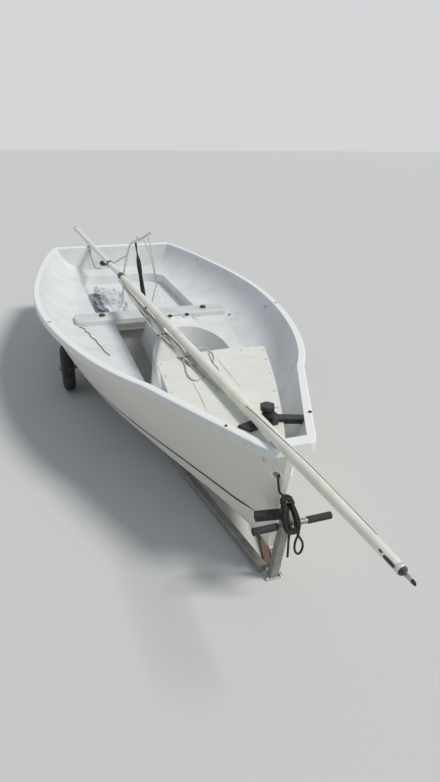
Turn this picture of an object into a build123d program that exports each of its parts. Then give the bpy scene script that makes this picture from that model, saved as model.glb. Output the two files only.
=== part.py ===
from build123d import *
import math
import os

# Sailing dinghy on its launching trolley, mast down and lying along the deck.
# Millimetres. X to port, Y aft, Z up, the floor at Z = 0 and the bow towards -Y.
# "s" is the distance aft of the stem head, "half" a distance from the centre plane.

# Hull
LENGTH = 4600
SHEER_BOW = 769
SHEER_SAG = 140
SHEER_RISE = 108
STEM_HALF = 18
STEM_RAKE = 0.20
STEM_FOOT_Z = 148
FLANGE_WIDTH = 46
FLANGE_OVERHANG = 38
FLANGE_DEPTH = 44
FLANGE_EDGE = 11
KEEL_HALF = 18
BOTTOM_BULGE = 14
EYE_RADIUS = 22
EYE_BACK = 58
EYE_Z = 602
SHROUD_S = 2000

# Cockpit
DECK_Z = 500
SOLE_Z = 410
FORE_SOLE_Z = 345
WALL_SLOPE = 0.49
BAY_TAPER = 0.42
BAY_FRONT = 66
BOW_RISE = 120
BOW_RISE_END = 350
COVE = 180
TRANSOM_THICK = 100
WELL_HALF = 322
WELL_FRONT = 1120
WELL_CORNER = 60
AFT_WELL_HALF = 430
AFT_WELL_CORNER = 190
STERN_DECK = 450

# Foredeck
PANEL_Z = 748
PANEL_THICK = 14
PANEL_AFT = 1119
PANEL_FRONT = 80
CORE_INSET = 14
PANEL_PORT = 352
PANEL_PORT_MID = 172
PANEL_MID_S = 523
PANEL_STARBOARD = 311
PANEL_SKEW = 69
PANEL_CAMBER = 22
PANEL_SIDE = 346
PANEL_SIDE_S = 640

# Console and thwart
CONSOLE_FRONT = 1440
CONSOLE_TOP_Z = 766
STEP_S = 1390
STEP_TOP_RADIUS = 270
STEP_LOW_RADIUS = 205
KNOB_RADIUS = 15
KNOB_HEIGHT = 26
KNOB_X = 58
KNOB_S = 1752
THWART_FRONT = 2520
THWART_WIDTH = 200
THWART_THICK = 46
THWART_HALF = 620

# Mast, its head towards the bow and its heel over the transom
MAST_FORE = 800
MAST_AFT = 1120
MAST_X_BOW = -59
MAST_X_STERN = -245
MAST_RADIUS = 26
HEAD_RADIUS = 17
TAPER_S = 150
MAST_WALL = 2.5
JOINT_S = 2930
RING_S = 3443
COLLAR_LENGTH = 90
COLLAR_THICK = 4
CAP_THICK = 12
TONGUE_LENGTH = 62
TONGUE_WIDTH = 22
TONGUE_THICK = 9
HEEL_BACK = 40
PLUG_LENGTH = 34
REST_GAP = 0.3
FIT_GAP = 0.2

# Bow fitting
BAR_S = 222
BAR_WIDTH = 40
DRUM_S = 286
DRUM_X = 14
DRUM_RADIUS = 30
DRUM_WAIST = 18

# Spreaders and stays
SPREADER_RADIUS = 8
STAY_RADIUS = 9

# Trolley
WHEEL_S = 2500
WHEEL_X = 720
WHEEL_RADIUS = 185
TYRE_WIDTH = 92
RIM_RADIUS = 104
HUB_RADIUS = 27
HUB_LENGTH = 84
AXLE_RADIUS = 16
STUB_RADIUS = 12
RUN_GAP = 0.06
SIDE_GAP = 6
CAP_LENGTH = 16
CAP_RADIUS = 20
BAR = 40
ARM_END_X = 480
ARM_TAIL = 60
FOOT_S = 100
FOOT_THICK = 8
FOOT_WIDTH = 92
FOOT_LENGTH = 104
POST_LEAN = 0.22
POST_HEIGHT = 440
HANDLE_S = -50
HANDLE_Z = 423
HANDLE_RADIUS = 12.5
HANDLE_HALF = 180
GRIP_RADIUS = 17
GRIP_LENGTH = 112
SNUB_Z = 418
SNUB_HEIGHT = 36
SNUB_THICK = 36
SNUB_REACH = 130
SNUB_S = 46
BUNK_X = 330
BUNK_LENGTH = 760
BUNK_WIDTH = 70
BUNK_Z = 290
BUNK_HEIGHT = 110

# Painter
ROPE_RADIUS = 5
BUNDLE_RADIUS = 26

STEM_Y = -(LENGTH + MAST_AFT - MAST_FORE) / 2
AFT_WELL_FRONT = THWART_FRONT + THWART_WIDTH

# Bow of the gunwale flange: s, half breadth
NOSE = [
    (0, 84),
    (14, 110),
    (60, 136),
]

# Hull stations: share of the length, half breadth, half at bilge, height of bilge,
# height of keel, swell of the side
FORE_STATIONS = [
    (0.024, 156, 30, 250, 158, -15),
    (0.076, 262, 130, 262, 146, -6),
    (0.174, 457, 318, 305, 158, 10),
]
AFT_STATIONS = [
    (0.304, 712, 535, 352, 180, 16),
    (0.435, 849, 665, 382, 203, 16),
    (0.565, 905, 708, 400, 224, 16),
    (0.739, 860, 690, 424, 254, 16),
    (0.880, 765, 612, 442, 282, 16),
    (1.000, 627, 500, 460, 312, 16),
]


def y_at(s):
    return STEM_Y + s


def sheer(s):
    t = s / LENGTH
    return SHEER_BOW - SHEER_SAG * t + SHEER_RISE * t * t


def half_at(s):
    rows = NOSE + [(row[0] * LENGTH, row[1]) for row in FORE_STATIONS + AFT_STATIONS]
    for (s0, half0), (s1, half1) in zip(rows, rows[1:]):
        if s <= s1:
            return half0 + (half1 - half0) * (s - s0) / (s1 - s0)
    return rows[-1][1]


def station(s):
    return Plane(origin=(0, y_at(s), 0), x_dir=(1, 0, 0), z_dir=(0, -1, 0))


def bulged(a, b, bulge):
    # Arc from a to b that swells by bulge to the right of its direction
    dx, dz = b[0] - a[0], b[1] - a[1]
    run = math.hypot(dx, dz)
    mid = ((a[0] + b[0]) / 2 + dz / run * bulge, (a[1] + b[1]) / 2 - dx / run * bulge)
    return ThreePointArc(a, mid, b)


def run_of(fore, aft):
    # Straight panels through the fore sections, then one fair curve to the last aft one
    return loft(fore, ruled=True) + loft([fore[-1]] + aft)


def body_section(plane, keel_half, keel, bilge_half, bilge, top_half, top, swell):
    left = [(-keel_half, keel), (-bilge_half, bilge), (-top_half, top)]
    right = [(-x, z) for x, z in left]
    bottom_swell = min(BOTTOM_BULGE, (bilge_half - keel_half) / 4)
    edges = [
        Line(left[0], right[0]),
        bulged(right[0], right[1], bottom_swell),
        bulged(right[1], right[2], swell),
        Line(right[2], left[2]),
        bulged(left[2], left[1], swell),
        bulged(left[1], left[0], bottom_swell),
    ]
    return plane * make_face(edges)


def body_at(row):
    share, half, bilge_half, bilge, keel, swell = row
    s = share * LENGTH
    top = sheer(s) - FLANGE_DEPTH / 2
    return body_section(station(s), KEEL_HALF, keel, bilge_half, bilge, half - FLANGE_OVERHANG, top, swell)


def hull_body():
    top = sheer(0) - FLANGE_DEPTH / 2
    lean = math.degrees(math.atan(STEM_RAKE))
    foot = (0, y_at(0) + STEM_RAKE * (sheer(0) - STEM_FOOT_Z), STEM_FOOT_Z)
    stem_plane = Plane(foot, x_dir=(1, 0, 0), z_dir=(0, -1, 0)).rotated((lean, 0, 0))
    rise = (top - STEM_FOOT_Z) / math.cos(math.radians(lean))
    stem = body_section(stem_plane, STEM_HALF / 2, 0, STEM_HALF * 0.7, rise * 0.3, STEM_HALF, rise, -2)
    return run_of([stem] + [body_at(row) for row in FORE_STATIONS], [body_at(row) for row in AFT_STATIONS])


def flange_section(s, half):
    top, low = sheer(s), sheer(s) - FLANGE_DEPTH
    e = FLANGE_EDGE
    c = e * (1 - math.sqrt(0.5))
    edges = [
        Line((-half, low), (half, low)),
        Line((half, low), (half, top - e)),
        ThreePointArc((half, top - e), (half - c, top - c), (half - e, top)),
        Line((half - e, top), (-half + e, top)),
        ThreePointArc((-half + e, top), (-half + c, top - c), (-half, top - e)),
        Line((-half, top - e), (-half, low)),
    ]
    return station(s) * make_face(edges)


def flange_slab():
    nose = [flange_section(s, half) for s, half in NOSE]
    fore = [flange_section(row[0] * LENGTH, row[1]) for row in FORE_STATIONS]
    aft = [flange_section(row[0] * LENGTH, row[1]) for row in AFT_STATIONS]
    return run_of(nose + fore, aft)


def bay_floor(s):
    return DECK_Z + BOW_RISE * max(0, BOW_RISE_END - s) / (BOW_RISE_END - BAY_FRONT)


def bay_section(s):
    floor, top = bay_floor(s), sheer(s) + 30
    inner = half_at(s) - FLANGE_WIDTH
    upper = inner + (top - sheer(s)) * WALL_SLOPE
    lower = max(inner - (sheer(s) - floor) * WALL_SLOPE, BAY_TAPER * inner)
    r = min(COVE, lower * 0.6, lower * 0.25 + 40)
    foot = lower + r * WALL_SLOPE
    bend = (lower - r * (0.91 - math.sqrt(0.5)), floor + r * (1 - math.sqrt(0.5)))
    edges = [
        Line((-lower + r, floor), (lower - r, floor)),
        ThreePointArc((lower - r, floor), bend, (foot, floor + r)),
        Line((foot, floor + r), (upper, top)),
        Line((upper, top), (-upper, top)),
        Line((-upper, top), (-foot, floor + r)),
        ThreePointArc((-foot, floor + r), (-bend[0], bend[1]), (-lower + r, floor)),
    ]
    return station(s) * make_face(edges)


def bay():
    fore = [BAY_FRONT] + [row[0] * LENGTH for row in FORE_STATIONS]
    aft = [row[0] * LENGTH for row in AFT_STATIONS[:-1]] + [LENGTH - TRANSOM_THICK]
    return run_of([bay_section(s) for s in fore], [bay_section(s) for s in aft])


def well(half, s0, s1, corner, sole):
    plan = RectangleRounded(2 * half, s1 - s0, corner)
    place = Pos(0, y_at((s0 + s1) / 2), sole)
    return extrude(place * plan, DECK_Z - sole + COVE / 2)


def hull(inside):
    solid = hull_body() + flange_slab() - inside
    solid -= well(WELL_HALF, WELL_FRONT, AFT_WELL_FRONT + 2 * WELL_CORNER, WELL_CORNER, FORE_SOLE_Z)
    solid -= well(AFT_WELL_HALF, AFT_WELL_FRONT, LENGTH - STERN_DECK, AFT_WELL_CORNER, SOLE_Z)
    eye = Pos(0, y_at(EYE_BACK), EYE_Z) * Rot(0, 90, 0) * Cylinder(EYE_RADIUS, 4 * NOSE[-1][1])
    return solid - eye


def panel_edges(inset):
    # Plan of the foredeck, brought in by inset along its free edges; past the side it is cut to the bow
    bow = (6 - inset, y_at(PANEL_FRONT))
    corner = (PANEL_PORT - inset, y_at(PANEL_AFT) - inset)
    mate = (-PANEL_STARBOARD + inset, y_at(PANEL_AFT - PANEL_SKEW) - inset)
    side = (-PANEL_SIDE + inset, y_at(PANEL_SIDE_S))
    gunwale = [(-half_at(s), y_at(s)) for s in (PANEL_SIDE_S / 2, PANEL_FRONT)]
    return [
        ThreePointArc(bow, (PANEL_PORT_MID - inset, y_at(PANEL_MID_S)), corner),
        ThreePointArc(corner, (0, y_at(PANEL_AFT + PANEL_CAMBER) - inset), mate),
        Polyline(mate, side, *gunwale, bow),
    ]


def foredeck_panel(inside):
    plan = make_face(panel_edges(0))
    return Pos(0, 0, PANEL_Z - PANEL_THICK) * extrude(plan, PANEL_THICK) & inside


def foredeck_core(inside):
    plan = make_face(panel_edges(CORE_INSET))
    return Pos(0, 0, DECK_Z) * extrude(plan, PANEL_Z - PANEL_THICK - DECK_Z) & inside


# Console sections: s, half at the sole, half at the top, height of the top
CONSOLE = [
    (CONSOLE_FRONT, 275, 252, 640),
    (1540, 262, 215, 682),
    (1650, 225, 130, 728),
    (1712, 190, 84, CONSOLE_TOP_Z),
    (1790, 168, 74, CONSOLE_TOP_Z - 4),
    (2280, 135, 56, 600),
    (THWART_FRONT - 4, 125, 52, DECK_Z + THWART_THICK),
]


def console():
    sections = []
    for s, low, high, top in CONSOLE:
        feet = [(-low, FORE_SOLE_Z), (low, FORE_SOLE_Z)]
        outline = Polyline(*feet, (high, top), (-high, top), close=True)
        sections.append(station(s) * make_face(outline))
    height = CONSOLE_TOP_Z - FORE_SOLE_Z
    bowl = Cone(STEP_LOW_RADIUS, STEP_TOP_RADIUS, height)
    return loft(sections, ruled=True) - Pos(0, y_at(STEP_S), FORE_SOLE_Z + height / 2) * bowl


def thwart(boat):
    centre = THWART_FRONT + THWART_WIDTH / 2
    plan = RectangleRounded(2 * THWART_HALF, THWART_WIDTH, 30)
    board = Pos(0, y_at(centre), DECK_Z) * extrude(plan, THWART_THICK)
    return fillet(board.faces().sort_by(Axis.Z)[-1].edges(), 12) - boat


def mast_axis():
    bow = Vector(MAST_X_BOW, y_at(0), sheer(0) + MAST_RADIUS + REST_GAP)
    stern = Vector(MAST_X_STERN, y_at(LENGTH), sheer(LENGTH) + MAST_RADIUS + REST_GAP)
    return bow, stern


def along(s):
    # Plane across the mast at a distance aft of the stem, its normal pointing aft
    bow, stern = mast_axis()
    point = bow + (stern - bow) * (s / LENGTH)
    return Plane(point, x_dir=(1, 0, 0), z_dir=(stern - bow).normalized())


def mast_span(s0, s1):
    bow, stern = mast_axis()
    return (s1 - s0) * (stern - bow).length / LENGTH


def ring(s, outer, inner, length):
    return extrude(along(s) * (Circle(outer) - Circle(inner)), length)


HEAD_S = -MAST_FORE + TONGUE_LENGTH
HEEL_S = LENGTH + MAST_AFT - HEEL_BACK


def tapered(head_radius, radius):
    return loft([along(HEAD_S) * Circle(head_radius), along(TAPER_S) * Circle(radius)])


def mast_top_section():
    skin = tapered(HEAD_RADIUS, MAST_RADIUS) - tapered(HEAD_RADIUS - MAST_WALL, MAST_RADIUS - MAST_WALL)
    return skin + ring(TAPER_S, MAST_RADIUS, MAST_RADIUS - MAST_WALL, mast_span(TAPER_S, JOINT_S))


def mast_lower_section():
    return ring(JOINT_S, MAST_RADIUS, MAST_RADIUS - MAST_WALL, mast_span(JOINT_S, HEEL_S))


def mast_collar():
    return ring(JOINT_S - COLLAR_LENGTH / 2, MAST_RADIUS + COLLAR_THICK, MAST_RADIUS + FIT_GAP, COLLAR_LENGTH)


def masthead():
    plug = extrude(along(HEAD_S) * Circle(HEAD_RADIUS - MAST_WALL - FIT_GAP), PLUG_LENGTH)
    cap = extrude(along(HEAD_S - CAP_THICK) * Circle(HEAD_RADIUS), CAP_THICK - FIT_GAP)
    blade = RectangleRounded(TONGUE_THICK, TONGUE_WIDTH, TONGUE_THICK * 0.4)
    tongue = extrude(along(-MAST_FORE) * blade, TONGUE_LENGTH - CAP_THICK + 2)
    neck = extrude(along(HEAD_S - 1) * Circle(HEAD_RADIUS * 0.6), 2)
    return plug + cap + tongue + neck


def mast_heel():
    plug = extrude(along(HEEL_S - PLUG_LENGTH) * Circle(MAST_RADIUS - MAST_WALL - FIT_GAP), PLUG_LENGTH)
    cap = extrude(along(HEEL_S + FIT_GAP) * Circle(MAST_RADIUS + 2), CAP_THICK)
    neck = extrude(along(HEEL_S - 1) * Circle(MAST_RADIUS * 0.6), 4)
    spigot = extrude(along(HEEL_S + CAP_THICK - 2) * Circle(MAST_RADIUS * 0.6), HEEL_BACK - CAP_THICK)
    return plug + cap + neck + spigot


def mast_ring():
    return ring(RING_S, MAST_RADIUS + 6, MAST_RADIUS + FIT_GAP, 34)


def rod(a, b, radius):
    a, b = Vector(a[0], y_at(a[1]), a[2]), Vector(b[0], y_at(b[1]), b[2])
    return extrude(Plane(a, z_dir=b - a) * Circle(radius), (b - a).length)


# Spreader arm that stands up, its fittings, the arm that hangs down and the stays: x, s, z
SPREADER_UP = [(-166, 2920, 800), (-122, 2940, 950), (-102, 2950, 1020), (-62, 2950, 1064), (-12, 2948, 1078)]
SPREADER_TIP = [(-18, 2948, 1067), (82, 2930, 1129)]
SPREADER_STUB = [(-34, 2950, 1100), (-6, 2946, 1060)]
SPREADER_BRACE = [(-238, 2960, 887), (-120, 2942, 952)]
SPREADER_DOWN = [(-176, 2900, 765), (-176, 2896, 690), (-200, 2870, 558)]
STAY_ROUTE = [
    (-214, 2870, 764), (-206, 2560, 752), (-194, 2200, 741), (-180, 1850, 740),
    (-164, 1520, 748), (-150, 1250, 757), (-138, 1060, 757.6), (-133, 960, 757.4),
]


def collar_space():
    outer = MAST_RADIUS + COLLAR_THICK + FIT_GAP
    return extrude(along(JOINT_S - COLLAR_LENGTH) * Circle(outer), 2 * COLLAR_LENGTH)


def route(points, radius):
    # Tube along straight runs joined by tangent arcs, each as large as its two runs allow
    way = [Vector(x, y_at(s), z) for x, s, z in points]
    radii = []
    for a, b, c in zip(way, way[1:], way[2:]):
        turn = math.radians((b - a).get_angle(c - b))
        shorter = min((b - a).length, (c - b).length)
        radii.append(0.45 * shorter / math.tan(turn / 2))
    path = FilletPolyline(*way, radius=radii)
    print("tube radius", radius, "bends", [round(r) for r in radii], "length", round(path.length))
    return sweep(Plane(path @ 0, z_dir=path % 0) * Circle(radius), path=path)


def spreader_upper():
    stick = route(SPREADER_UP, SPREADER_RADIUS) - collar_space()
    stick += rod(*SPREADER_TIP, SPREADER_RADIUS + 1)
    stick += rod(*SPREADER_STUB, SPREADER_RADIUS - 1)
    return stick + rod(*SPREADER_BRACE, SPREADER_RADIUS - 1)


def spreader_lower():
    return route(SPREADER_DOWN, SPREADER_RADIUS) - collar_space()


# Painter from the stem eye to the bundle at the handle, its tail and its loop: x, s, z
BUNDLE_ROUTE = [(-12, 12, 506), (-14, -30, 483), (-18, -84, 462), (-18, -92, 405)]
PAINTER_ROUTE = [
    (-14, 58, 600), (-40, 54, 604), (-36, 32, 590), (-29, 24, 560), (-27, 20, 532), (-12, 12, 506),
]
TAIL_ROUTE = [(-34, -92, 405), (-35, -92, 370), (-33, -91, 332), (-31, -88, 284)]
LOOP_ROUTE = [
    (-11, -92, 405), (-12, -92, 376), (-9, -91, 340), (-2, -90, 308), (14, -90, 288),
    (32, -90, 298), (37, -90, 324), (24, -91, 352), (8, -92, 378), (2, -92, 405),
]


def tyre():
    # Section across the wheel: x outward along the radius, y along the axle
    outer, inner = WHEEL_RADIUS, RIM_RADIUS
    half = TYRE_WIDTH / 2
    middle = (inner + outer) / 2 - 6
    edges = [
        Line((inner, -half * 0.62), (inner, half * 0.62)),
        ThreePointArc((inner, half * 0.62), (middle, half), (outer - 16, half * 0.72)),
        ThreePointArc((outer - 16, half * 0.72), (outer, 0), (outer - 16, -half * 0.72)),
        ThreePointArc((outer - 16, -half * 0.72), (middle, -half), (inner, -half * 0.62)),
    ]
    return revolve(make_face(edges), Axis.Y, 360)


def rim():
    half = TYRE_WIDTH / 2 * 0.6
    hub = HUB_LENGTH / 2
    bore = STUB_RADIUS + RUN_GAP
    edge = RIM_RADIUS
    points = [
        (bore, -hub), (HUB_RADIUS, -hub), (HUB_RADIUS, -10), (70, -6), (edge - 10, -half + 6),
        (edge - 6, -half - 6), (edge, -half - 6), (edge - 1, half + 6), (edge - 6, half + 6),
        (edge - 10, half - 6), (70, 8), (HUB_RADIUS, 12), (HUB_RADIUS, hub), (bore, hub),
    ]
    solid = revolve(make_face(Polyline(*points, close=True)), Axis.Y, 360)
    for k in range(5):
        solid -= Rot(0, 72 * k, 0) * Pos(52, 0, 0) * Rot(90, 0, 0) * Cylinder(11, 60)
    return solid


def on_axle(shape, side):
    # Turns a piece made about Y so that it lies about X at one wheel
    return Pos(side * WHEEL_X, y_at(WHEEL_S), WHEEL_RADIUS) * Rot(0, 0, -90 * side) * shape


def across(radius, x0, x1, s, z):
    plane = Plane((x0, y_at(s), z), x_dir=(0, 1, 0), z_dir=(1, 0, 0))
    return extrude(plane * Circle(radius), x1 - x0)


def axle():
    tube_end = WHEEL_X - HUB_LENGTH / 2 - SIDE_GAP
    stub_end = WHEEL_X + HUB_LENGTH / 2 + SIDE_GAP + CAP_LENGTH - 4
    tube = across(AXLE_RADIUS, -tube_end, tube_end, WHEEL_S, WHEEL_RADIUS)
    return tube + across(STUB_RADIUS, -stub_end, stub_end, WHEEL_S, WHEEL_RADIUS)


def axle_cap(side):
    start = WHEEL_X + HUB_LENGTH / 2 + SIDE_GAP
    ends = sorted((side * start, side * (start + CAP_LENGTH)))
    core = sorted((0, side * (start + CAP_LENGTH - 4)))
    cap = across(CAP_RADIUS, ends[0], ends[1], WHEEL_S, WHEEL_RADIUS)
    return cap - across(STUB_RADIUS, core[0], core[1], WHEEL_S, WHEEL_RADIUS)


def beam(a, b, width, depth):
    a, b = Vector(*a), Vector(*b)
    way = (b - a).normalized()
    side = way.cross(Vector(0, 0, 1)).normalized()
    return extrude(Plane(a, x_dir=side, z_dir=way) * RectangleRounded(width, depth, 4), (b - a).length)


def trolley_arm(side):
    front_s, front_z = FOOT_S + 30, FOOT_THICK + BAR / 2
    axle_z = WHEEL_RADIUS - AXLE_RADIUS - BAR / 2 - REST_GAP
    climb = (axle_z - front_z) / (WHEEL_S - front_s)
    front = (side * 36, y_at(front_s), front_z)
    back = (side * ARM_END_X, y_at(WHEEL_S + ARM_TAIL), axle_z + climb * ARM_TAIL)
    return beam(front, back, BAR, BAR)


def post_point(z):
    return (0, y_at(FOOT_S) - z * POST_LEAN, z)


def below_foot():
    return Pos(0, y_at(FOOT_S), FOOT_THICK - 50) * Box(400, 400, 100)


def trolley_foot():
    plate = Pos(0, y_at(FOOT_S + 22), FOOT_THICK / 2) * Box(FOOT_WIDTH, FOOT_LENGTH, FOOT_THICK)
    return fillet(plate.edges().filter_by(Axis.Z), 22)


def trolley_post():
    return beam(post_point(-20), post_point(POST_HEIGHT), BAR, BAR) - below_foot()


def trolley_handle(post):
    inner = HANDLE_HALF - 6
    tube = across(HANDLE_RADIUS, -inner, inner, HANDLE_S, HANDLE_Z)
    reach = FOOT_S - HANDLE_Z * POST_LEAN - HANDLE_S
    lug = Pos(0, y_at(HANDLE_S + reach / 2), HANDLE_Z) * Box(BAR, reach, 2 * HANDLE_RADIUS)
    return tube + lug - post


def grip(side):
    ends = sorted((side * (HANDLE_HALF - GRIP_LENGTH), side * HANDLE_HALF))
    core = sorted((side * (HANDLE_HALF - GRIP_LENGTH), side * (HANDLE_HALF - 6)))
    sleeve = across(GRIP_RADIUS, ends[0], ends[1], HANDLE_S, HANDLE_Z)
    return sleeve - across(HANDLE_RADIUS, core[0], core[1], HANDLE_S, HANDLE_Z)


def snubber(side, boat, post):
    inner, outer = (side * 8, y_at(SNUB_S - 20), SNUB_Z), (side * SNUB_REACH, y_at(SNUB_S), SNUB_Z)
    return beam(inner, outer, SNUB_THICK, SNUB_HEIGHT) - boat - post


def keel_rest(boat):
    strut = beam((0, y_at(FOOT_S + 60), FOOT_THICK + 2), (0, y_at(320), 190), 34, 30)
    return strut - below_foot() - boat


def bunk(side, boat):
    block = Pos(side * BUNK_X, y_at(WHEEL_S + 40), BUNK_Z) * Box(BUNK_WIDTH, BUNK_LENGTH, BUNK_HEIGHT)
    return block - boat


def bunk_bracket(side):
    top = BUNK_Z - BUNK_HEIGHT / 2
    base = WHEEL_RADIUS + AXLE_RADIUS
    return Pos(side * BUNK_X, y_at(WHEEL_S), (base + top) / 2) * Box(46, 60, top - base)


def bow_bar(boat):
    # Fills the gap from the foredeck to the mast and ends on the inner walls of the bow
    low = PANEL_Z + REST_GAP
    top = along(BAR_S).origin.Z - MAST_RADIUS - REST_GAP
    reach = 2 * (half_at(BAR_S) - FLANGE_WIDTH) + 20
    return Pos(0, y_at(BAR_S), (low + top) / 2) * Box(reach, BAR_WIDTH, top - low) - boat


def furler_drum():
    drum = Pos(DRUM_X, y_at(DRUM_S), PANEL_Z)
    body = drum * extrude(RegularPolygon(DRUM_RADIUS - 4, 6), 20)
    waist = drum * Pos(0, 0, 20) * extrude(Circle(DRUM_WAIST), 22)
    top = drum * Pos(0, 0, 42) * extrude(RegularPolygon(DRUM_RADIUS, 6), 18)
    edge = y_at(BAR_S + BAR_WIDTH / 2)
    plan = Polyline(
        (DRUM_X - 22, y_at(DRUM_S)), (DRUM_X + 22, y_at(DRUM_S)), (DRUM_X + 16, edge), (DRUM_X - 10, edge),
        close=True)
    arm = Pos(0, 0, PANEL_Z) * extrude(make_face(plan), 30)
    return body + waist + top + arm


# Sail sections: share of the aft well's length, half breadth, height over the sole
SAIL = [(0.18, 60, 40), (0.30, 130, 105), (0.51, 150, 130), (0.69, 110, 90), (0.77, 55, 45)]
SAIL_X = -240


def sail_bundle():
    low = SOLE_Z + REST_GAP
    sections = []
    for share, half, height in SAIL:
        s = AFT_WELL_FRONT + share * (LENGTH - STERN_DECK - AFT_WELL_FRONT)
        left, right = (SAIL_X - half, low), (SAIL_X + half, low)
        outline = [Line(left, right), ThreePointArc(right, (SAIL_X, low + height), left)]
        sections.append(station(s) * make_face(outline))
    return loft(sections)


GUDGEON_DROP = 87
GUDGEON_SPAN = 250


def gudgeon(drop):
    z = sheer(LENGTH) - drop
    plate = Pos(0, y_at(LENGTH) + 3, z) * Box(70, 6, 34)
    lug = Pos(0, y_at(LENGTH) + 22, z) * Box(30, 34, 12)
    hole = Pos(0, y_at(LENGTH) + 28, z) * Cylinder(5, 40)
    return plate + lug - hole


def buttons(places, radius, height):
    solids = []
    for x, s, z in places:
        button = Pos(x, y_at(s), z) * extrude(Circle(radius), height)
        solids.append(fillet(button.faces().sort_by(Axis.Z)[-1].edges(), height * 0.4))
    return Compound(children=solids)


THWART_MID = THWART_FRONT + THWART_WIDTH / 2
THWART_FITTINGS = [(-405, THWART_MID, DECK_Z + THWART_THICK), (440, THWART_MID, DECK_Z + THWART_THICK)]
CONSOLE_KNOBS = [(side * KNOB_X, KNOB_S, CONSOLE_TOP_Z - 4) for side in (-1, 1)]
SHROUD_X = half_at(SHROUD_S) - FLANGE_WIDTH / 2
SHROUD_PLATES = [(side * SHROUD_X, SHROUD_S, sheer(SHROUD_S) - 2) for side in (-1, 1)]

os.makedirs("parts", exist_ok=True)
inside = bay()
boat = hull(inside)
post = trolley_post()
pedestal = console()
hank = route(BUNDLE_ROUTE, BUNDLE_RADIUS)
parts = {
    "hull": boat,
    "foredeck_core": foredeck_core(inside),
    "foredeck_panel": foredeck_panel(inside),
    "console": pedestal,
    "console_knobs": buttons(CONSOLE_KNOBS, KNOB_RADIUS, KNOB_HEIGHT) - pedestal,
    "thwart": thwart(boat),
    "thwart_fittings": buttons(THWART_FITTINGS, 24, 18),
    "shroud_plates": buttons(SHROUD_PLATES, 13, 6) - boat,
    "mast_top_section": mast_top_section(),
    "mast_lower_section": mast_lower_section(),
    "mast_collar": mast_collar(),
    "masthead": masthead(),
    "mast_heel": mast_heel(),
    "mast_ring": mast_ring(),
    "spreader_upper": spreader_upper(),
    "spreader_lower": spreader_lower(),
    "stay_bundle": route(STAY_ROUTE, STAY_RADIUS),
    "bow_bar": bow_bar(boat),
    "furler_drum": furler_drum(),
    "sail_bundle": sail_bundle(),
    "gudgeon_upper": gudgeon(GUDGEON_DROP),
    "gudgeon_lower": gudgeon(GUDGEON_DROP + GUDGEON_SPAN),
    "painter": route(PAINTER_ROUTE, ROPE_RADIUS) - hank,
    "painter_bundle": hank,
    "painter_tail": route(TAIL_ROUTE, ROPE_RADIUS) - hank,
    "painter_loop": route(LOOP_ROUTE, ROPE_RADIUS) - hank,
    "axle": axle(),
    "trolley_foot": trolley_foot(),
    "trolley_post": post,
    "trolley_handle": trolley_handle(post),
    "keel_rest": keel_rest(boat),
}
for name, side in (("starboard", -1), ("port", 1)):
    parts["wheel_tyre_" + name] = on_axle(tyre(), side)
    parts["wheel_rim_" + name] = on_axle(rim(), side)
    parts["axle_cap_" + name] = axle_cap(side)
    parts["trolley_arm_" + name] = trolley_arm(side)
    parts["grip_" + name] = grip(side)
    parts["snubber_" + name] = snubber(side, boat, post)
    parts["bunk_" + name] = bunk(side, boat)
    parts["bunk_bracket_" + name] = bunk_bracket(side)

for name, shape in parts.items():
    export_step(shape, f"parts/{name}.step")
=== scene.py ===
from math import cos, exp, hypot, pi, radians, sin, sqrt, tau

import bmesh
import bpy
from mathutils import Matrix, Vector, noise
from mathutils.bvhtree import BVHTree

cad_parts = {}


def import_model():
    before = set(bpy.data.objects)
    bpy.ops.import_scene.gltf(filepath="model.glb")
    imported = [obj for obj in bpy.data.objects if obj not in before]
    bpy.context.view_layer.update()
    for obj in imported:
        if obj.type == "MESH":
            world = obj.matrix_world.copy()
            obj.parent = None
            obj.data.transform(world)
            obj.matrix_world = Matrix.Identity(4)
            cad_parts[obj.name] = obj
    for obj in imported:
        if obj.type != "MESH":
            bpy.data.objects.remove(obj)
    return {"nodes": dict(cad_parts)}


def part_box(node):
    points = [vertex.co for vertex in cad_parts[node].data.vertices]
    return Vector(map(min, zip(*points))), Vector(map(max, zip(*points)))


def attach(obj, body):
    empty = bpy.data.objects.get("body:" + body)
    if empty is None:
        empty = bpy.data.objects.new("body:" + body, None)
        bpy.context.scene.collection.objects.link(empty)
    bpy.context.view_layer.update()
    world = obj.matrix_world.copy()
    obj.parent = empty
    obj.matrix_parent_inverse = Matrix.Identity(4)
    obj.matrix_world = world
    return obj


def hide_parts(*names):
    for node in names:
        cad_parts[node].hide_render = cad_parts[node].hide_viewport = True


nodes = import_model()["nodes"]
scene = bpy.context.scene
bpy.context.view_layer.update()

# Camera: a standing person's view from ahead and to starboard of the bow.
# Places are given as x to port, s aft of the stem head and z up from the floor, in metres.
STEM_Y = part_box("hull")[0].y


def at(x, s, z):
    return Vector((x, STEM_Y + s, z))


EYE = at(-0.8965, -1.6652, 1.8897)
YAW, PITCH, ROLL = (radians(a) for a in (19.336, 25.345, 0.942))
FOCAL_SHARE = 546 / 782
SENSOR = 36
ahead = Vector((sin(YAW) * cos(PITCH), cos(YAW) * cos(PITCH), -sin(PITCH)))
level = Vector((cos(YAW), -sin(YAW), 0))
upright = level.cross(ahead)
right = level * cos(ROLL) + upright * sin(ROLL)
above = upright * cos(ROLL) - level * sin(ROLL)
camera = bpy.data.objects.new("camera", bpy.data.cameras.new("camera"))
camera.data.sensor_width = SENSOR
camera.data.lens = SENSOR * FOCAL_SHARE
camera.matrix_world = Matrix.Translation(EYE) @ Matrix((right, above, -ahead)).transposed().to_4x4()
scene.collection.objects.link(camera)
scene.camera = camera


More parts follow.
